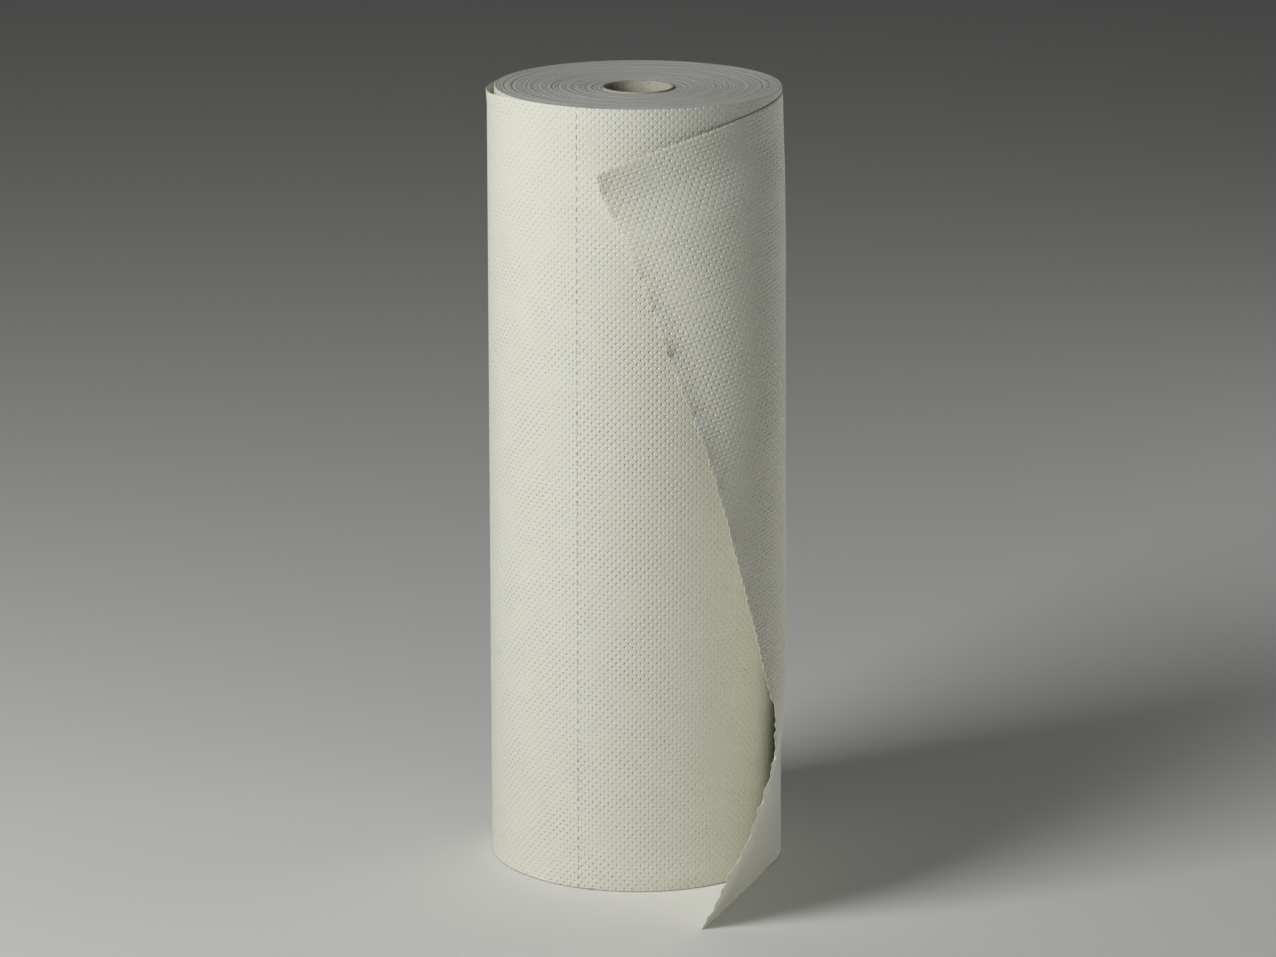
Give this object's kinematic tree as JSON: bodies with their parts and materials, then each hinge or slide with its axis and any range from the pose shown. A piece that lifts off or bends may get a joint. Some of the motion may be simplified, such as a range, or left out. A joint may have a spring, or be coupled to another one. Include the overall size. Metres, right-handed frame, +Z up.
{
  "type": "exam table paper roll",
  "caption": "Tall roll of embossed two-ply couch paper on a board core, standing on its end, with the last turn sprung loose and a torn loose end that comes round to the front.",
  "frame": {"origin": "on the axis of the core's bore, at the lower end face, on the floor that the roll stands on", "axes": "+Z up along the roll's axis, -Y to the front where the loose end comes round, +X to the right"},
  "size_m": [0.186, 0.2625, 0.5],
  "materials": {
    "embossed_paper": "matt off-white embossed tissue",
    "core_board": "matt grey-brown recycled board"
  },
  "bodies": {
    "root": {"paper_roll": "embossed_paper", "core_tube": "core_board"}
  },
  "joints": []
}
